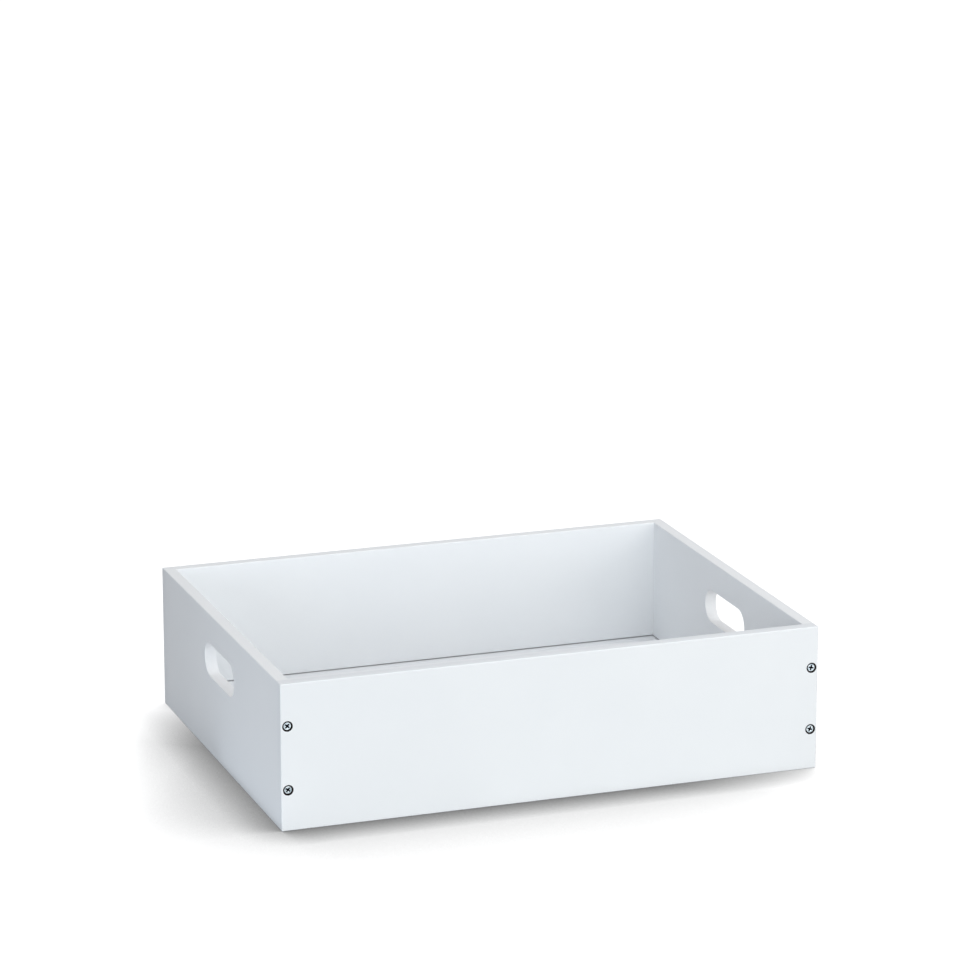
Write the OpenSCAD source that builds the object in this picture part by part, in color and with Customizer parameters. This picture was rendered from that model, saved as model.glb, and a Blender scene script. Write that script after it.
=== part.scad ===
// Stackable storage box of painted fibreboard.
// Two long boards lap the ends of two short boards and are screwed to them. A thin
// base panel lies in a groove that runs round the inside, and each short board has
// a routed hand-hole. The box stands on the lower edges of its boards, and the next
// box stands on its rim.
// Millimetres. X runs along the front, Y from front to back, Z up.
// The origin is on the ground, under the middle of the box.

/* [Box] */
// Outside length, along the front
box_w = 400; // [300:10:600]
// Outside depth, front to back
box_d = 300; // [200:10:450]
// Outside height
box_h = 106; // [90:1:250]

/* [Boards] */
// Thickness of the front, back and side boards
board_t = 9; // [7:0.5:16]
// Radius of the sanded arrises on the outside and round the rim
arris_r = 0.8; // [0.4:0.1:1.2]

/* [Base panel] */
// Thickness of the base panel
panel_t = 3; // [2:0.5:6]
// Height of the panel's underside above the ground
panel_lift = 11.5; // [6:0.5:18]
// Depth of the groove in the boards
groove_deep = 4; // [3:0.5:5]
// Free height above the panel in its groove
panel_headroom = 0.7; // [0.2:0.1:1.2]
// Free space between the panel's edge and the bottom of the groove
panel_play = 0.3; // [0.2:0.1:1]

/* [Hand-holes] */
// Clear length of a hand-hole
hand_w = 74; // [50:1:110]
// Clear height of a hand-hole
hand_h = 24.5; // [18:0.5:36]
// Distance from the rim down to the middle of a hand-hole
hand_drop = 34.5; // [25:0.5:45]
// Radius of the rounded edge of a hand-hole, on both faces of the board
hand_edge_r = 0.6; // [0.4:0.1:3]

/* [Screws] */
// Length of a screw, head included
screw_len = 30; // [20:1:50]
// Diameter of a screw's head
head_d = 5.6; // [5:0.1:7]
// Diameter of a screw's core, under its thread
core_d = 1.9; // [1.6:0.1:2.4]
// Diameter of the clearance hole that a screw passes through
shank_hole_d = 3.4; // [3:0.1:4]
// How far a head is driven below the face of the board
head_sunk = 0.75; // [0.1:0.05:1]
// Distance from a side board's outer face to the screws' axes
screw_inset = 5; // [4.5:0.1:6]
// Height of the lower row of screws above the ground
screw_lift = 29.5; // [20:0.5:40]
// Distance from the rim down to the upper row of screws
screw_drop = 30.5; // [20:0.5:40]

/* [Hidden] */
$fn = 48;
// How far a cutter reaches past the face that it opens
over = 1;

// Screw: a flat head with a broken rim, a short land and a 90 degree cone, a smooth
// neck, and the core that carries the thread
head_r = head_d / 2;
rim_bevel = 0.15;
head_land = 0.1;
neck_r = core_d / 2 + 0.15;
neck_len = 1.5;
point_len = 3.5;

// Screw fits. Depths are taken from the face of the long board into the wood.
seat_play = 0.1;                   // between head and countersink, and core and pilot hole
cone_start = head_sunk + rim_bevel + head_land;
sink_r = head_r + cone_start + seat_play;
shank_hole_r = shank_hole_d / 2;
pilot_r = core_d / 2 + seat_play;
pilot_spare = 1;                   // free length of pilot hole past the screw's point

// Cross recess in the head
recess_span = 3.8;
recess_deep = 1.7;
recess_core_d = 1.9;
recess_taper = 0.45;               // share of its width that is left at the bottom
wing_t = 1.05;

// Finishes
lacquer_white = "#ECEFF2";
zinc_grey = "#C4CACF";

// Places
inside_w = box_w - 2 * board_t;
inside_d = box_d - 2 * board_t;
panel_w = inside_w + 2 * (groove_deep - panel_play);
panel_d = inside_d + 2 * (groove_deep - panel_play);
hand_z = box_h - hand_drop;
hand_r = hand_h / 2;
hand_straight = hand_w - hand_h;
screw_x = box_w / 2 - screw_inset;
screw_rows = [screw_lift, box_h - screw_drop];

// Every screw: which side in X, which board in Y, which row, and how far its cross
// recess is turned clockwise, as the driver left it
SCREWS = [
    [-1, -1, 0, 37], [-1, -1, 1, 41], [1, -1, 0, 21], [1, -1, 1, 14],
    [-1, 1, 0, 8], [-1, 1, 1, 55], [1, 1, 0, 30], [1, 1, 1, 68]
];
function screw_name(s) = str(
    "screw_", s[1] < 0 ? "front" : "back",
    "_", s[0] < 0 ? "left" : "right",
    "_", s[2] == 0 ? "lower" : "upper"
);

// ---- Outlines and solids that several pieces share ----

// Rectangle round the origin with its corners rounded
module eased_rect(w, h, r) {
    square([w - 2 * r, h], center = true);
    square([w, h - 2 * r], center = true);
    for (x = [-1, 1], y = [-1, 1])
        translate([x * (w / 2 - r), y * (h / 2 - r)]) circle(r);
}

// The box's outside as one block with every arris rounded
module eased_block() {
    intersection() {
        linear_extrude(box_h) eased_rect(box_w, box_d, arris_r);
        translate([0, box_d / 2, box_h / 2]) rotate([90, 0, 0])
            linear_extrude(box_d) eased_rect(box_w, box_h, arris_r);
        translate([-box_w / 2, 0, box_h / 2]) rotate([90, 0, 90])
            linear_extrude(box_w) eased_rect(box_d, box_h, arris_r);
    }
}

// Section through the open inside, across a width of clear space: it flares out round
// the arrises of the two boards that stand beside it
module inside_section(clear) {
    difference() {
        square([clear + 2 * arris_r, box_h + 2 * over], center = true);
        for (side = [-1, 1]) translate([side * (clear + board_t) / 2, 0])
            eased_rect(board_t, box_h, arris_r);
    }
}

// The open inside of the box, with mitred flares at the rim and at the ground
module inside_block() {
    translate([0, 0, box_h / 2]) intersection() {
        rotate([90, 0, 0]) linear_extrude(box_d, center = true) inside_section(inside_w);
        rotate([90, 0, 90]) linear_extrude(box_w, center = true) inside_section(inside_d);
    }
}

// The groove that holds the base panel, all round the inside
module panel_groove() {
    translate([0, 0, panel_lift]) linear_extrude(panel_t + panel_headroom)
        square([inside_w + 2 * groove_deep, inside_d + 2 * groove_deep], center = true);
}

// The four boards as one frame, before it is parted at the joints. Every board is cut
// from it, so the rounded arrises run on from one board to the next.
module board_frame() {
    difference() {
        eased_block();
        inside_block();
        panel_groove();
    }
}

// Puts its children at a screw's place on the face of a long board. They point into
// the wood along their own Z, and a turn about it is clockwise as seen from outside.
module at_screw(s) {
    translate([s[0] * screw_x, s[1] * box_d / 2, screw_rows[s[2]]])
        rotate([s[1] * 90, 0, 0]) children();
}

// ---- The boards ----

// Hole for one screw: countersink, clearance through the long board, and pilot hole in
// the end of the short board behind it
module screw_hole() {
    pilot_end = head_sunk + screw_len + pilot_spare;
    rotate_extrude() polygon([
        [0, -over],
        [sink_r + over, -over],
        [shank_hole_r, sink_r - shank_hole_r],
        [shank_hole_r, board_t],
        [pilot_r, board_t],
        [pilot_r, pilot_end],
        [0, pilot_end + pilot_r]
    ]);
}

// A long board, on the side of the box that dir names: -1 for the front, 1 for the back
module long_board(dir) {
    difference() {
        intersection() {
            board_frame();
            translate([-box_w, dir * (box_d - board_t) / 2 - board_t / 2, -over])
                cube([2 * box_w, board_t, box_h + 2 * over]);
        }
        for (s = SCREWS) if (s[1] == dir) at_screw(s) screw_hole();
    }
}

// Half-section of a hand-hole, from its middle line outwards and through the board:
// what it leaves of the board's own section is a rounded edge
module hand_hole_section() {
    reach = hand_r + hand_edge_r;
    difference() {
        translate([0, -over]) square([reach, board_t + 2 * over]);
        translate([hand_r + board_t, board_t / 2])
            eased_rect(2 * board_t, board_t, hand_edge_r);
    }
}

// Routed hand-hole: a straight run between two half-turns of the same section, laid
// with its length along X and its axis along Z
module hand_hole() {
    for (end = [-1, 1]) translate([end * hand_straight / 2, 0, 0])
        rotate([0, 0, end * 90 - 180]) rotate_extrude(angle = 180) hand_hole_section();
    for (side = [0, 1]) mirror([0, side, 0])
        translate([-hand_straight / 2, 0, 0]) rotate([90, 0, 90])
            linear_extrude(hand_straight) hand_hole_section();
}

// A short board, on the side of the box that dir names: -1 for the left, 1 for the right
module short_board(dir) {
    difference() {
        intersection() {
            board_frame();
            translate([dir * (box_w - board_t) / 2 - board_t / 2, -inside_d / 2, -over])
                cube([board_t, inside_d, box_h + 2 * over]);
        }
        translate([dir * (box_w - board_t) / 2 - board_t / 2, 0, hand_z])
            rotate([90, 0, 90]) hand_hole();
        for (s = SCREWS) if (s[0] == dir) at_screw(s) screw_hole();
    }
}

module front_board() { color(lacquer_white) long_board(-1); }
module back_board() { color(lacquer_white) long_board(1); }
module left_side() { color(lacquer_white) short_board(-1); }
module right_side() { color(lacquer_white) short_board(1); }

// ---- The base panel ----

// Thin board that drops into the groove before the last long board closes the box
module base_panel() {
    color(lacquer_white) translate([-panel_w / 2, -panel_d / 2, panel_lift])
        cube([panel_w, panel_d, panel_t]);
}

// ---- The screws ----

// Taper that is as wide as top_d at the head's face and narrows into the wood. It
// starts as far outside the head as it ends inside it.
module recess_cone(top_d) {
    foot_d = top_d * recess_taper;
    translate([0, 0, -recess_deep])
        cylinder(h = 2 * recess_deep, d1 = 2 * top_d - foot_d, d2 = foot_d);
}

// Cross recess: a pair of crossed wings cut to a taper, and a narrower core between them
module cross_recess() {
    intersection() {
        recess_cone(recess_span);
        for (turn = [0, 90]) rotate([0, 0, turn])
            cube([2 * recess_span, wing_t, 2 * recess_deep], center = true);
    }
    recess_cone(recess_core_d);
}

// A screw's outline as turned, from its head's flat top to its point
module screw_outline() {
    neck_start = cone_start + head_r - neck_r;
    core_start = neck_start + neck_len + neck_r - core_d / 2;
    tip = head_sunk + screw_len;
    polygon([
        [0, head_sunk],
        [head_r - rim_bevel, head_sunk],
        [head_r, head_sunk + rim_bevel],
        [head_r, cone_start],
        [neck_r, neck_start],
        [neck_r, neck_start + neck_len],
        [core_d / 2, core_start],
        [core_d / 2, tip - point_len],
        [0, tip]
    ]);
}

// One screw in its hole
module screw(s) {
    color(zinc_grey) at_screw(s) difference() {
        rotate_extrude() screw_outline();
        translate([0, 0, head_sunk]) rotate([0, 0, s[3]]) cross_recess();
    }
}

front_board();
back_board();
left_side();
right_side();
base_panel();
for (s = SCREWS) screw(s);
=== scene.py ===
from math import radians

import bmesh
import bpy
import numpy as np
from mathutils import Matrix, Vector


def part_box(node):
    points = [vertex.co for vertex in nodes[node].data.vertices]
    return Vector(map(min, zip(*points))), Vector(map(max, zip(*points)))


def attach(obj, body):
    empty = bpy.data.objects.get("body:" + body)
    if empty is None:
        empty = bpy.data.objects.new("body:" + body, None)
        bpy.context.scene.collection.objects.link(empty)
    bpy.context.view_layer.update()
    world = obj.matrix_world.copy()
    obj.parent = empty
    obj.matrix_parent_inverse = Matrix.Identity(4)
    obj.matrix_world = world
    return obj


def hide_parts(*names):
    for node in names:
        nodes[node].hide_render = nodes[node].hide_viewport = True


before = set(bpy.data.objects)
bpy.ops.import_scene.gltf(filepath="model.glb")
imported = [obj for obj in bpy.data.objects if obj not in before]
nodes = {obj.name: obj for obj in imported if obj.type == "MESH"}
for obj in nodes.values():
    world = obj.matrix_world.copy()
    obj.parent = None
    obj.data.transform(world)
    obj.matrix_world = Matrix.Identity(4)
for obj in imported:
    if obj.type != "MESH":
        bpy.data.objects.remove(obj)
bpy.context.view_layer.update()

# ---- The four boards ----
# Two long boards lap two short ones, all sawn from 9 mm fibreboard, grooved for the base
# and sanded round at their arrises. They are sprayed with a cool white satin lacquer. The
# countersinks and the groove are cut through it afterwards and show the bare board, which
# is painted near black there as their shade.

MM = 1000.0                               # millimetres in a metre
LACQUER = (0.834, 0.856, 0.874)
THIN_LACQUER_AND_RIM_SHADE = (0.762, 0.790, 0.818)      # darker: painted shade on the front board's rim, thinner lacquer in the clouds
HAND_HOLE_PAINTED_LIGHT = (0.915, 0.925, 0.935)     # whiter lacquer on the hand-holes' walls: painted light
# Bare fibreboard, darkened to near black as painted shade in the countersinks and the
# groove
BARE_BOARD_IN_PAINTED_SHADE = (0.004, 0.003, 0.003)
BARE_FIBRE_IN_PAINTED_SHADE = (0.016, 0.010, 0.008)
CLOUD_SHARE = 0.18                        # of thin lacquer, in the middle of a cloud
PAINT_GLOSS = 0.3                         # how strongly the lacquer mirrors
SATIN = 0.50                              # roughness of a face, where it is smoothest
SATIN_CLOUDS = 0.10                       # what its clouds add to that
EDGE_DULLER = 0.10                        # and what a cut edge adds
BARE_DULLER = 0.40                        # and bare board

# Sizes on the boards, in millimetres
GROOVE_DEEP = 4.0
GROOVE_HEADROOM = 0.7                     # above the panel
SINK_R = 3.9                              # of a countersink, at the board's face
HAND_Z = 71.5                             # height of the middle of a hand-hole
HAND_W = 74.0
HAND_H = 24.5
HAND_ROUND = 2.0                          # round a hand-hole, to take in its soft edge
LIP_OF_LACQUER = 0.08                     # lacquer that runs over a fresh cut
RAGGED = 0.12                             # how far the lacquer is torn at a countersink
RAGGED_SIZE = 0.4
CLOUD_SIZE = 70.0
SATIN_CLOUD_SIZE = 25.0
FIBRE_SIZE = 0.35
FIBRE_DEEP = 0.05
PEEL_SIZE = 2.6                           # the orange peel of sprayed lacquer
PEEL_DEEP = 0.012

# Share of the normal that runs along an axis: on a face square to it, and on one that is
# turned well away from it
SQUARE_TO = 0.95
TURNED_FROM = 0.45

# Noise from the first value to the second is spread over 0 to 1: gently for clouds, and
# more sharply for fine grain
GENTLY = (0.3, 0.7)
SHARPLY = (0.35, 0.65)

front_low, front_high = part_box("front_board")
left_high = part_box("left_side")[1]
panel_low, panel_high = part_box("base_panel")
screw_low, screw_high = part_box("screw_front_right_lower")
upper_low, upper_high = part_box("screw_front_right_upper")
inside_x = -left_high.x * MM
inside_y = -front_high.y * MM
screw_x = (screw_low.x + screw_high.x) / 2 * MM
row_low = (screw_low.z + screw_high.z) / 2 * MM
row_high = (upper_low.z + upper_high.z) / 2 * MM
screw_tip = -screw_high.y * MM            # how near the middle a screw's point comes


def add(tree, kind, sockets, **settings):
    """Adds a shader node to a tree. A socket that is given a socket is linked to it, and
    one that is given a number or a colour is set."""
    made = tree.nodes.new("ShaderNode" + kind)
    for name, value in settings.items():
        setattr(made, name, value)
    for name, value in sockets.items():
        if isinstance(value, bpy.types.NodeSocket):
            tree.links.new(value, made.inputs[name])
        else:
            made.inputs[name].default_value = value
    return made


def calc(tree, operation, a, b=0.0, c=0.0):
    """One sum on numbers or sockets, as a socket. Only MULTIPLY_ADD takes the third."""
    return add(tree, "Math", {0: a, 1: b, 2: c}, operation=operation).outputs[0]


def ramp(tree, value, low, high):
    """0 below low, 1 above high, and a smooth rise between them. It falls if low is the
    higher of the two."""
    sockets = {"Value": value, "From Min": low, "From Max": high}
    return add(tree, "MapRange", sockets, interpolation_type="SMOOTHSTEP").outputs[0]


def within(tree, value, middle, half):
    """1 where a value lies less than half off the middle, else 0."""
    off = calc(tree, "ABSOLUTE", calc(tree, "SUBTRACT", value, middle))
    return calc(tree, "LESS_THAN", off, half)


def blend_colours(tree, share, a, b):
    """Colour a where share is 0, and colour b where it is 1."""
    a_slot, b_slot = 6, 7                 # the mixer's two sockets for colours
    sockets = {0: share}
    for slot, colour in ((a_slot, a), (b_slot, b)):
        sockets[slot] = (*colour, 1) if isinstance(colour, tuple) else colour
    return add(tree, "Mix", sockets, data_type="RGBA").outputs[2]


def grain(tree, place, size, detail=2.0):
    """Noise from 0 to 1 whose lumps measure about size, in millimetres."""
    sockets = {"Vector": place, "Scale": 1 / size, "Detail": detail}
    return add(tree, "TexNoise", sockets).outputs["Fac"]


def start_finish(name):
    """A new material, with its tree, its shader, and the place in millimetres."""
    finish = bpy.data.materials.new(name)
    finish.use_nodes = True
    tree = finish.node_tree
    shader = tree.nodes["Principled BSDF"]
    at = add(tree, "TexCoord", {}).outputs["Object"]
    place = add(tree, "VectorMath", {0: at, "Scale": MM}, operation="SCALE").outputs[0]
    return finish, tree, shader, place


def coat(piece, finish):
    """Gives a piece one finish all over."""
    piece.data.materials.clear()
    piece.data.materials.append(finish)


def relief(tree, height, depth, below=None):
    """Bump from a height of 0 to 1 that stands for a depth in millimetres. It can lie on
    another bump below it."""
    sockets = {"Height": height, "Distance": depth / MM, "Strength": 1.0}
    if below:
        sockets["Normal"] = below
    return add(tree, "Bump", sockets).outputs["Normal"]


def from_screw_axis(tree, x, z):
    """Distance from the nearest screw's axis in millimetres. The places mirror left to
    right, and the two rows of screws mirror about the height half way between them."""
    row_mid = (row_low + row_high) / 2
    off_x = calc(tree, "SUBTRACT", calc(tree, "ABSOLUTE", x), screw_x)
    from_mid = calc(tree, "ABSOLUTE", calc(tree, "SUBTRACT", z, row_mid))
    off_z = calc(tree, "SUBTRACT", from_mid, (row_high - row_low) / 2)
    square_x, square_z = calc(tree, "POWER", off_x, 2.0), calc(tree, "POWER", off_z, 2.0)
    return calc(tree, "SQRT", calc(tree, "ADD", square_x, square_z))


def in_screw_hole(tree, place, x, y, z):
    """1 in the countersinks and in the holes behind them, as far as the screws' points.
    The lacquer's edge round a countersink is a little torn."""
    torn = calc(tree, "MULTIPLY", grain(tree, place, RAGGED_SIZE), RAGGED)
    from_axis = calc(tree, "ADD", from_screw_axis(tree, x, z), torn)
    round_axis = ramp(tree, from_axis, SINK_R, SINK_R - LIP_OF_LACQUER)
    return calc(tree, "MULTIPLY", round_axis, calc(tree, "GREATER_THAN", y, screw_tip))


def in_groove(tree, x, y, z):
    """1 in the groove: past the boards' inner faces, and between the groove's two walls.
    The groove is as high as the panel and its headroom together."""
    past_faces = calc(
        tree, "MAXIMUM",
        calc(tree, "SUBTRACT", x, inside_x), calc(tree, "SUBTRACT", y, inside_y),
    )
    past_lip = ramp(tree, past_faces, LIP_OF_LACQUER, 2 * LIP_OF_LACQUER)
    in_depth = calc(tree, "LESS_THAN", past_faces, GROOVE_DEEP + LIP_OF_LACQUER)
    middle = (panel_low.z + panel_high.z) / 2 * MM + GROOVE_HEADROOM / 2
    half = (panel_high.z - panel_low.z) / 2 * MM + GROOVE_HEADROOM / 2
    in_height = within(tree, z, middle, half + LIP_OF_LACQUER)
    return calc(tree, "MULTIPLY", calc(tree, "MULTIPLY", past_lip, in_depth), in_height)


def in_hand_hole(tree, y, z, cut_edge):
    """1 on the walls of the hand-holes: cut edges well away from the rim and the ground,
    where the lacquer is painted whiter as painted light.
    """
    in_height = within(tree, z, HAND_Z, HAND_H / 2 + HAND_ROUND)
    in_length = calc(tree, "LESS_THAN", y, HAND_W / 2 + HAND_ROUND)
    return calc(tree, "MULTIPLY", calc(tree, "MULTIPLY", in_height, in_length), cut_edge)


def board_finish(name, face_axis, rim_colour):
    """Satin lacquer on fibreboard whose broad faces look along face_axis, with a colour of
    its own on the rim: on the front board a darker lacquer, as painted shade. Cut edges
    are duller and finely rough, and whiter in the hand-holes as painted light. Inside the
    screw holes and the groove the board is bare, painted near black as their shade."""
    finish, tree, shader, place = start_finish(name)
    at = add(tree, "SeparateXYZ", {0: place})
    x = calc(tree, "ABSOLUTE", at.outputs["X"])
    y = calc(tree, "ABSOLUTE", at.outputs["Y"])
    z = at.outputs["Z"]

    normal = add(tree, "TexCoord", {}).outputs["Normal"]
    facing = add(tree, "SeparateXYZ", {0: normal})
    along_face = calc(tree, "ABSOLUTE", facing.outputs[face_axis])
    along_z = calc(tree, "ABSOLUTE", facing.outputs["Z"])
    cut_edge = ramp(tree, along_face, SQUARE_TO, TURNED_FROM)
    on_rim = ramp(tree, along_z, TURNED_FROM, SQUARE_TO)
    in_hole = in_screw_hole(tree, place, x, y, z)
    bare_in_shade = calc(tree, "MAXIMUM", in_hole, in_groove(tree, x, y, z))

    # Colour
    clouds = ramp(tree, grain(tree, place, CLOUD_SIZE, detail=3), *GENTLY)
    fibres = grain(tree, place, FIBRE_SIZE, detail=3)
    # Painted shade: the front board's rim is given a darker lacquer than the other rims
    tone = blend_colours(tree, on_rim, LACQUER, rim_colour)
    # Painted light: the hand-holes' walls are whiter than the lacquer elsewhere
    tone = blend_colours(tree, in_hand_hole(tree, y, z, cut_edge), tone, HAND_HOLE_PAINTED_LIGHT)
    cloud_share = calc(tree, "MULTIPLY", clouds, CLOUD_SHARE)
    tone = blend_colours(tree, cloud_share, tone, THIN_LACQUER_AND_RIM_SHADE)
    # Bare board in the countersinks and the groove, painted near black as their shade
    board = blend_colours(tree, ramp(tree, fibres, *SHARPLY), BARE_BOARD_IN_PAINTED_SHADE, BARE_FIBRE_IN_PAINTED_SHADE)
    tree.links.new(blend_colours(tree, bare_in_shade, tone, board), shader.inputs["Base Color"])

    # Sheen: satin on the faces, duller on the edges, none on bare board
    satin_clouds = grain(tree, place, SATIN_CLOUD_SIZE, detail=3)
    sheen = calc(tree, "MULTIPLY_ADD", satin_clouds, SATIN_CLOUDS, SATIN)
    sheen = calc(tree, "MULTIPLY_ADD", cut_edge, EDGE_DULLER, sheen)
    sheen = calc(tree, "MULTIPLY_ADD", bare_in_shade, BARE_DULLER, sheen)
    tree.links.new(sheen, shader.inputs["Roughness"])
    shader.inputs["Specular IOR Level"].default_value = PAINT_GLOSS

    # Relief: the lacquer's orange peel, and fibres where the board was cut
    peel = relief(tree, grain(tree, place, PEEL_SIZE, detail=1), PEEL_DEEP)
    raised_fibres = calc(tree, "MULTIPLY", calc(tree, "MAXIMUM", cut_edge, bare_in_shade), fibres)
    tree.links.new(relief(tree, raised_fibres, FIBRE_DEEP, peel), shader.inputs["Normal"])
    return finish


# The front rim gets the darker lacquer as painted shade, and the back rim keeps the plain
# one
coat(nodes["front_board"], board_finish("satin lacquer on the front", "Y", THIN_LACQUER_AND_RIM_SHADE))
coat(nodes["back_board"], board_finish("satin lacquer on the back", "Y", LACQUER))
short_finish = board_finish("satin lacquer on the sides", "X", LACQUER)
for name in ("left_side", "right_side"):
    coat(nodes[name], short_finish)

# ---- The base panel ----
# A 3 mm hardboard panel, factory painted white, dropped into the groove. Its paint is
# rolled on, so it has a fine even stipple and less sheen than the boards.

PANEL_WHITE = (0.835, 0.857, 0.880)
PANEL_SHADE = (0.800, 0.820, 0.842)
PANEL_CLOUD_SHARE = 0.3                   # of the darker paint, in the middle of a cloud
PANEL_CLOUD_SIZE = 45.0
ROLLED_LONG = 0.35                        # a cloud's width over its length
STIPPLE_SIZE = 0.9
STIPPLE_DEEP = 0.015
ROLLED_SHEEN = 0.52                       # roughness between the stipples
STIPPLE_DULLER = 0.12                     # what a stipple adds to that


def panel_finish(name):
    """Rolled paint: an even fine stipple, with faint broad clouds along the panel."""
    finish, tree, shader, place = start_finish(name)
    stretch = {"Vector": place, "Scale": (ROLLED_LONG, 1, 1)}
    rolled = add(tree, "Mapping", stretch).outputs[0]
    clouds = ramp(tree, grain(tree, rolled, PANEL_CLOUD_SIZE, detail=3), *GENTLY)
    cloud_share = calc(tree, "MULTIPLY", clouds, PANEL_CLOUD_SHARE)
    tone = blend_colours(tree, cloud_share, PANEL_WHITE, PANEL_SHADE)
    tree.links.new(tone, shader.inputs["Base Color"])
    stipple = grain(tree, place, STIPPLE_SIZE)
    sheen = calc(tree, "MULTIPLY_ADD", stipple, STIPPLE_DULLER, ROLLED_SHEEN)
    tree.links.new(sheen, shader.inputs["Roughness"])
    shader.inputs["Specular IOR Level"].default_value = PAINT_GLOSS
    tree.links.new(relief(tree, stipple, STIPPLE_DEEP), shader.inputs["Normal"])
    return finish


coat(nodes["base_panel"], panel_finish("rolled paint on the base panel"))

# ---- The screws ----
# Eight 3 by 30 mm countersunk wood screws, headed and thread rolled from steel wire and
# plated with bright zinc. Each is driven a little below the face of the board, and its
# cross recess stays at the turn where the driver left it.

ZINC = (0.72, 0.79, 0.83)
ZINC_CLOUD = (0.36, 0.44, 0.49)
# Near black painted into the cross recess and round the head's rim: painted shade
RECESS_AND_RIM_SHADE = (0.006, 0.009, 0.014)

# Sizes in millimetres. Depths are taken from the board's face.
HEAD_SUNK = 0.75
HEAD_R = 2.8
RIM_ROUND = 0.15
CONE_START = 1.0
NECK_R = 1.1
NECK_START = CONE_START + HEAD_R - NECK_R   # where the 90 degree cone ends
NECK_END = NECK_START + 1.5
CORE_START = NECK_END + 0.15
CORE_R = 0.95
THREAD_R = 1.5
THREAD_WHOLE = NECK_END + 1.8             # where the thread has its full height
PITCH = 1.35
TIP = HEAD_SUNK + 30
POINT_START = TIP - 3.5
RECESS_DEEP = 1.7
RECESS_POINT = 0.15                       # the cone at the bottom of the recess
RECESS_REACH = 1.9                        # from the axis to the end of a wing
RECESS_CORE = 0.95
WING_HALF = 0.525                         # half of a wing's thickness
MOUTH_WORN = 0.14                         # width of the worn edge round the recess

FOOT_SHARE = 0.45                         # of the recess's width, left at its bottom
WING_FOOT_SHARE = 0.5                     # of a wing's thickness that doesn't taper
CORNER_COLUMNS = (0, 4, 7, 11, 14, 18)    # of a quarter turn, at the recess's corners

# The thread's section over one pitch: shares of the pitch, and of the thread's height
FLANKS = ((0, 0), (0.30, 0), (0.46, 1), (0.54, 1), (0.70, 0))
SCREW_TURNS = {                           # degrees clockwise, seen from outside
    "front_left_lower": 37, "front_left_upper": 41,
    "front_right_lower": 21, "front_right_upper": 14,
    "back_left_lower": 8, "back_left_upper": 55,
    "back_right_lower": 30, "back_right_upper": 68,
}
SHARP_EDGE = radians(35)                  # edges that bend by more are left sharp
TOUCHING = 1e-6                           # metres between points that count as one


def skin(name, points):
    """A closed object from a grid of points in millimetres, rows by columns by 3. Rows
    that meet in one point, and the first and last columns, are merged."""
    rows, columns = points.shape[:2]
    corner = np.arange(rows * columns).reshape(rows, columns)
    around = (corner[:-1, :-1], corner[:-1, 1:], corner[1:, 1:], corner[1:, :-1])
    quads = np.stack(around, axis=-1).reshape(-1, 4)
    mesh = bpy.data.meshes.new(name)
    mesh.from_pydata((points.reshape(-1, 3) / MM).tolist(), [], quads.tolist())
    work = bmesh.new()
    work.from_mesh(mesh)
    bmesh.ops.remove_doubles(work, verts=work.verts, dist=TOUCHING)
    bmesh.ops.recalc_face_normals(work, faces=work.faces)
    work.to_mesh(mesh)
    work.free()
    made = bpy.data.objects.new(name, mesh)
    bpy.context.scene.collection.objects.link(made)
    return made


def screw_columns():
    """Turns round a screw, from 0 to 2 pi. Some of them fall on the corners of the cross
    recess: where a wing's side meets its end, sin turn = half width / reach, and where it
    meets the core, sin turn = half width / core radius."""
    end = np.arcsin(WING_HALF / RECESS_REACH)
    waist = np.arcsin(WING_HALF / RECESS_CORE)
    stops = np.array([0, end, waist, np.pi / 2 - waist, np.pi / 2 - end, np.pi / 2])
    quarter = np.interp(np.arange(CORNER_COLUMNS[-1]), CORNER_COLUMNS, stops)
    return np.append((quarter + np.arange(4)[:, None] * np.pi / 2).ravel(), 2 * np.pi)


def recess_outline(turn, share):
    """Radius of the cross recess at a turn. A wing is a strip of half width w that ends
    at a reach R: min(R, w / |sin turn|). The wings across it have cos for sin, the core
    between them is a circle of radius c, and the outline is the largest of the three.
    R and c are share times their width at the mouth, and w shrinks by half as much."""
    half = WING_HALF * (WING_FOOT_SHARE + (1 - WING_FOOT_SHARE) * share)
    wings = [
        np.minimum(RECESS_REACH * share, half / np.maximum(np.abs(side), 1e-9))
        for side in (np.sin(turn), np.cos(turn))
    ]
    return np.maximum(RECESS_CORE * share, np.maximum(*wings))


def head_grid(turn):
    """Radius and depth for the rows of a head, from the bottom of the recess outwards.
    Wall: the recess's outline times a share that grows evenly as the depth shrinks.
    Face: from the worn mouth to the rim. Rim: a quarter arc. Cone: radius + depth is
    constant, at 45 degrees."""
    level = 0 * turn
    bottom_d = level[None] + HEAD_SUNK + RECESS_DEEP + RECESS_POINT
    share = np.linspace(FOOT_SHARE, 1, 6)[:, None]
    wall_r = recess_outline(turn, share)
    up_wall = RECESS_DEEP * (1 - share) / (1 - FOOT_SHARE)
    wall_d = HEAD_SUNK + MOUTH_WORN / 2 + up_wall + level
    out = np.array([0, 0.25, 0.6, 1])[:, None]
    mouth = recess_outline(turn, 1.0) + MOUTH_WORN
    face_r = mouth * (1 - out) + (HEAD_R - RIM_ROUND) * out
    bend = np.radians([30, 60, 90])[:, None]
    rim_r = HEAD_R - RIM_ROUND * (1 - np.sin(bend)) + level
    rim_d = HEAD_SUNK + RIM_ROUND * (1 - np.cos(bend)) + level
    cone_r = np.array([HEAD_R, (HEAD_R + NECK_R) / 2, NECK_R])[:, None] + level
    cone_d = CONE_START + HEAD_R - cone_r
    radius = np.vstack([level[None], wall_r, face_r, rim_r, cone_r])
    return radius, np.vstack([bottom_d, wall_d, 0 * face_r + HEAD_SUNK, rim_d, cone_d])


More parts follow.
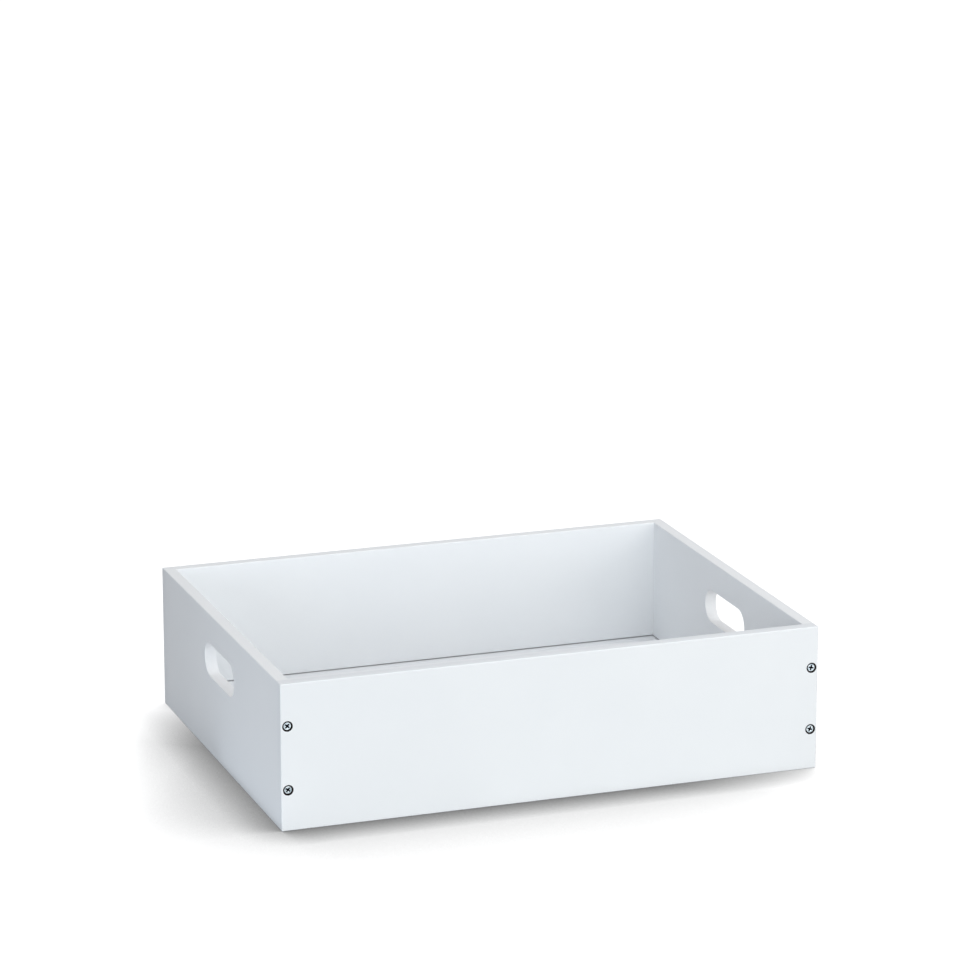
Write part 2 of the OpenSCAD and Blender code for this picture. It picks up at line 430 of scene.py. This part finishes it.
def shaft_grid(turn):
    """Radius and depth for the rows of a shaft. They run with the thread, depth = start +
    pitch * turn / 2 pi, so that after one turn a row meets the row one pitch below. All
    rows are held between the neck and the point, where they close. Radius = core(depth)
    + crest * height(depth), where crest is 1 along the thread's edge and 0 between."""
    phase, crest = np.array(FLANKS).T
    whole = np.arange(-1, np.ceil((TIP - NECK_START) / PITCH) + 1)
    start = NECK_START + PITCH * (whole[:, None] + phase).reshape(-1, 1)
    depth = np.clip(start + PITCH * turn / (2 * np.pi), NECK_START, TIP)
    core_stops = [NECK_END, CORE_START, POINT_START, TIP]
    core = np.interp(depth, core_stops, [NECK_R, CORE_R, CORE_R, 0])
    thread_stops = [CORE_START, THREAD_WHOLE, POINT_START, TIP]
    height = (THREAD_R - CORE_R) * np.interp(depth, thread_stops, [0, 1, 1, 0])
    return core + np.tile(crest, len(whole))[:, None] * height, depth


ZINC_CLOUD_SIZE = 1.3
ZINC_GRAIN_SIZE = 0.5
ZINC_SMOOTHEST = 0.16                     # roughness
ZINC_VARIES = 0.2                         # what the grain adds to that
PAINTED_SHADE_DULLER = 0.4                         # and what the painted shade adds
CONE_SKIN = 0.15                          # of the cone, where no painted shade lies
RING_PITCH = 45.0                         # radians of the ring pattern to a millimetre
RING_SHARE = 0.25                         # of the rings in the relief
RING_GRAIN_SIZE = 0.3
RING_DEEP = 0.006


def zinc_finish(name):
    """Bright zinc: cool, clouded in soft patches, with faint rings round the axis from
    the header. The recess and the rim of the head are painted near black as their shade."""
    finish, tree, shader, place = start_finish(name)
    at = add(tree, "SeparateXYZ", {0: place})
    from_axis = from_screw_axis(tree, at.outputs["X"], at.outputs["Z"])
    face_y = -front_low.y * MM
    depth = calc(tree, "SUBTRACT", face_y, calc(tree, "ABSOLUTE", at.outputs["Y"]))
    deep = ramp(tree, depth, HEAD_SUNK, HEAD_SUNK + MOUTH_WORN / 3)
    from_cone = calc(tree, "ADD", from_axis, depth)
    in_cone = calc(tree, "LESS_THAN", from_cone, CONE_START + HEAD_R - CONE_SKIN)
    near_axis = calc(tree, "LESS_THAN", from_axis, RECESS_REACH + MOUTH_WORN)
    in_recess = calc(tree, "MULTIPLY", in_cone, near_axis)
    at_rim = ramp(tree, from_axis, HEAD_R - 2 * RIM_ROUND, HEAD_R - RIM_ROUND)
    # Painted shade: the recess and the head's rim are made near black
    painted_shade = calc(tree, "MAXIMUM", calc(tree, "MULTIPLY", deep, in_recess), at_rim)

    clouds = ramp(tree, grain(tree, place, ZINC_CLOUD_SIZE, detail=3), *SHARPLY)
    tone = blend_colours(tree, clouds, ZINC_CLOUD, ZINC)
    tone = blend_colours(tree, painted_shade, tone, RECESS_AND_RIM_SHADE)
    tree.links.new(tone, shader.inputs["Base Color"])
    shader.inputs["Metallic"].default_value = 1.0

    fine_grain = grain(tree, place, ZINC_GRAIN_SIZE)
    sheen = calc(tree, "MULTIPLY_ADD", fine_grain, ZINC_VARIES, ZINC_SMOOTHEST)
    sheen = calc(tree, "MULTIPLY_ADD", painted_shade, PAINTED_SHADE_DULLER, sheen)
    tree.links.new(sheen, shader.inputs["Roughness"])

    rings = calc(tree, "SINE", calc(tree, "MULTIPLY", from_axis, RING_PITCH))
    ring_grain = grain(tree, place, RING_GRAIN_SIZE, detail=3)
    height = calc(tree, "MULTIPLY_ADD", rings, RING_SHARE, ring_grain)
    tree.links.new(relief(tree, height, RING_DEEP), shader.inputs["Normal"])
    return finish


zinc = zinc_finish("bright zinc plating")
columns = screw_columns()
radius, depth = (np.vstack(rows) for rows in zip(head_grid(columns), shaft_grid(columns)))
for place, turned in SCREW_TURNS.items():
    low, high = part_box("screw_" + place)
    outward = 1 if low.y > 0 else -1
    turn = columns + radians(turned)
    points = np.stack([
        (low.x + high.x) / 2 * MM + radius * np.cos(turn),
        outward * (-front_low.y * MM - depth),
        (low.z + high.z) / 2 * MM + outward * radius * np.sin(turn),
    ], axis=-1)
    screw = skin("zinc_screw_" + place, points)
    screw.data.shade_smooth()
    screw.data.set_sharp_from_angle(angle=SHARP_EDGE)
    coat(screw, zinc)
    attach(screw, "root")
    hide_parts("screw_" + place)

# ---- The floor and the light ----
# A round floor of white paper in a white room. Soft lamps stand over the box and round
# its front, a small low one behind it, and two white cards lie at the foot of its walls.

FLOOR_R = 6000.0                          # millimetres
PAPER_GREY = 0.35                         # what the paper throws back at the box
PAPER_GLOW = 0.955                        # its own light, which only rays to the eye meet
PAPER_ROUGH = 0.9
SKY_SAMPLES = 8

# The box's shade is painted on the paper: it is the sky that the box hides from it. A lean
# is the direction round which the sky is counted, and a reach, in metres, is how far off it
# can be hidden. The broad shade lies to the left and in front, the close one along the foot
# of the front board, and the third one along the back and the right.
BROAD_LEAN = (1.4, 0.8, 1.0)
CLOSE_LEAN = (0.25, 1.0, 1.0)
BEHIND_LEAN = (-1.0, -1.0, 1.0)
BROAD_POWER = 0.906
CLOSE_REACH = 0.031
BEHIND_REACH = 0.06

# These change over the floor: value at its middle, slopes along x and y, least and most
BROAD_REACH = (0.1287, (0.161, -0.421), 0.039, 0.177)
FRONT_POWER = (0.138, (-5.43, -8.14), 0.172, 0.893)
BEHIND_POWER = (0.25, (1.5, 2.2), 0.0, 0.7)


def seen_directly(tree):
    """1 for rays from the camera, off a glossy surface or through glass, else 0."""
    ray = add(tree, "LightPath", {}).outputs
    seen = calc(tree, "MAXIMUM", ray["Is Camera Ray"], ray["Is Glossy Ray"])
    return calc(tree, "MAXIMUM", seen, ray["Is Transmission Ray"])


def floor_grid():
    """A flat disc: x = R cos turn, y = R sin turn, z = 0, for a few radii R from 0 up."""
    turn = np.linspace(0, 2 * np.pi, 97)
    radius = np.array([0, 0.1, 0.4, 1])[:, None] * FLOOR_R
    x, y = radius * np.cos(turn), radius * np.sin(turn)
    return np.stack([x, y, 0 * x], axis=-1)


def over_floor(tree, place, middle, slope, least, most):
    """A number that changes evenly over the floor: middle + slope x * x + slope y * y,
    with x and y in metres, held between least and most."""
    along = (slope[0] / MM, slope[1] / MM, 0)
    rise = add(tree, "VectorMath", {0: place, 1: along}, operation="DOT_PRODUCT")
    number = calc(tree, "ADD", rise.outputs["Value"], middle)
    return calc(tree, "MINIMUM", calc(tree, "MAXIMUM", number, least), most)


def open_sky(tree, lean, reach):
    """Share of the sky round the direction lean that nothing within reach hides."""
    toward = add(tree, "CombineXYZ", dict(enumerate(lean))).outputs[0]
    sockets = {"Normal": toward, "Distance": reach}
    return add(tree, "AmbientOcclusion", sockets, samples=SKY_SAMPLES).outputs["AO"]


def box_shade(tree, place):
    """The box's painted shade on the paper, 0 for full shade and 1 for open paper:
    (broad ^ power * close) ^ front power * behind ^ behind power."""
    broad = open_sky(tree, BROAD_LEAN, over_floor(tree, place, *BROAD_REACH))
    close = open_sky(tree, CLOSE_LEAN, CLOSE_REACH)
    front = calc(tree, "MULTIPLY", calc(tree, "POWER", broad, BROAD_POWER), close)
    front = calc(tree, "POWER", front, over_floor(tree, place, *FRONT_POWER))
    behind = open_sky(tree, BEHIND_LEAN, BEHIND_REACH)
    behind = calc(tree, "POWER", behind, over_floor(tree, place, *BEHIND_POWER))
    return calc(tree, "MULTIPLY", front, behind)


def paper_finish(name):
    """White paper. The eye sees it grey in the lamps' light and white by its own glow,
    both dimmed by the box's shade, which is painted in for rays to the eye. The box gets
    back only what the grey throws."""
    finish, tree, shader, place = start_finish(name)
    seen = seen_directly(tree)
    loss = calc(tree, "SUBTRACT", box_shade(tree, place), 1.0)
    shade = calc(tree, "MULTIPLY_ADD", seen, loss, 1.0)
    tree.links.new(calc(tree, "MULTIPLY", shade, PAPER_GREY), shader.inputs["Base Color"])
    shader.inputs["Roughness"].default_value = PAPER_ROUGH
    shader.inputs["Specular IOR Level"].default_value = 0.0
    shader.inputs["Emission Color"].default_value = (1, 1, 1, 1)
    glow = calc(tree, "MULTIPLY", calc(tree, "MULTIPLY", seen, shade), PAPER_GLOW)
    tree.links.new(glow, shader.inputs["Emission Strength"])
    return finish


floor = skin("floor", floor_grid())
coat(floor, paper_finish("white floor"))

ROOM_LIGHT = 0.381                        # strength of the room on the box
ROOM_WHITE = (1, 1, 1.03, 1)

world = bpy.data.worlds.new("studio")
world.use_nodes = True
bpy.context.scene.world = world
room = world.node_tree
sky = room.nodes["Background"]
sky.inputs["Color"].default_value = ROOM_WHITE
# The eye sees the room at a strength of 1
strength = calc(room, "MULTIPLY_ADD", seen_directly(room), 1 - ROOM_LIGHT, ROOM_LIGHT)
room.links.new(strength, sky.inputs["Strength"])

WHITE_LIGHT = (1, 1, 1)
OVERHEAD_LIGHT = (1.01, 1, 0.975)
WARM_LIGHT = (1.02, 1, 0.975)
FRONT_LIGHT = (0.97, 1, 0.995)
LEFT_LIGHT = (0.895, 1, 1.11)
COOL_LIGHT = (0.905, 1, 1.10)
FRONT_CARD_WHITE = (0.97, 1, 1)
CARD_HEIGHT = 0.002
AIM = Vector((0, 0, 0.05))                # the middle of the box


def area_lamp(name, place, sides, watts, colour):
    """A flat lamp of two sides, in metres, that shines down until it is turned."""
    lamp = bpy.data.lights.new(name, "AREA")
    lamp.shape = "RECTANGLE"
    lamp.size, lamp.size_y = sides
    lamp.energy = watts
    lamp.color = colour
    holder = bpy.data.objects.new(name, lamp)
    holder.location = place
    bpy.context.scene.collection.objects.link(holder)
    return holder


def soft_lamp(name, place, side, watts, colour):
    """A square lamp aimed at the middle of the box."""
    lamp = area_lamp(name, place, (side, side), watts, colour)
    lamp.rotation_euler = (AIM - Vector(place)).to_track_quat("-Z", "Y").to_euler()


def floor_card(name, low, high, watts, colour):
    """A white card that lies beside the box and lights the foot of its wall. It shines
    up from the rectangle between two corners, and the eye doesn't meet it."""
    place = ((low[0] + high[0]) / 2, (low[1] + high[1]) / 2, CARD_HEIGHT)
    card = area_lamp(name, place, (high[0] - low[0], high[1] - low[1]), watts, colour)
    card.rotation_euler = (radians(180), 0, 0)
    card.visible_camera = False
    card.visible_glossy = False


soft_lamp("overhead_lamp", (0.5, 0.2, 1.9), 1.1, 11.6, OVERHEAD_LIGHT)
soft_lamp("inside_lamp", (-0.52, -0.9, 1.6), 0.8, 2.85, WARM_LIGHT)
soft_lamp("front_lamp", (0.2, -2.6, 0.6), 1.6, 35.2, FRONT_LIGHT)
soft_lamp("right_lamp", (0.8, -0.9, 0.45), 0.5, 2.04, WARM_LIGHT)
soft_lamp("left_lamp", (-1.3, -1.0, 0.3), 0.65, 4.0, LEFT_LIGHT)
soft_lamp("left_fill_lamp", (-0.6, -0.14, 0.07), 0.15, 0.18, COOL_LIGHT)
soft_lamp("back_lamp", (0.1, 1.8, 0.07), 0.12, 4.5, WHITE_LIGHT)
floor_card("left_card", (-0.268, -0.20), (-0.204, 0.0), 0.0125, COOL_LIGHT)
floor_card("front_card", (-0.05, -0.214), (0.19, -0.154), 0.0040, FRONT_CARD_WHITE)

# ---- The camera ----
# A long lens far off, a little above the box and to the left of its front. It looks over
# the middle of the box, so that the box stands low in the view.

BEARING = radians(-19.64)                 # from straight in front, towards the left
HEIGHT_ANGLE = radians(15.20)
DISTANCE = 3.07997                        # metres, as the next two are
ASIDE = -0.00199
RAISED = 0.18676
LENS = 157.32                             # millimetres, as the next one is
SENSOR = 36
FARTHEST = 50                             # metres, past the edge of the floor

camera_data = bpy.data.cameras.new("camera")
camera_data.lens = LENS
camera_data.sensor_width = SENSOR
camera_data.clip_end = FARTHEST
camera = bpy.data.objects.new("camera", camera_data)
bpy.context.scene.collection.objects.link(camera)
right = Vector((np.cos(BEARING), np.sin(BEARING), 0))
back = Vector((
    np.sin(BEARING) * np.cos(HEIGHT_ANGLE),
    -np.cos(BEARING) * np.cos(HEIGHT_ANGLE),
    np.sin(HEIGHT_ANGLE),
))
camera.location = back * DISTANCE + right * ASIDE + back.cross(right) * RAISED
camera.rotation_euler = (radians(90) - HEIGHT_ANGLE, 0, BEARING)
bpy.context.scene.camera = camera
bpy.context.scene.view_settings.view_transform = "Standard"
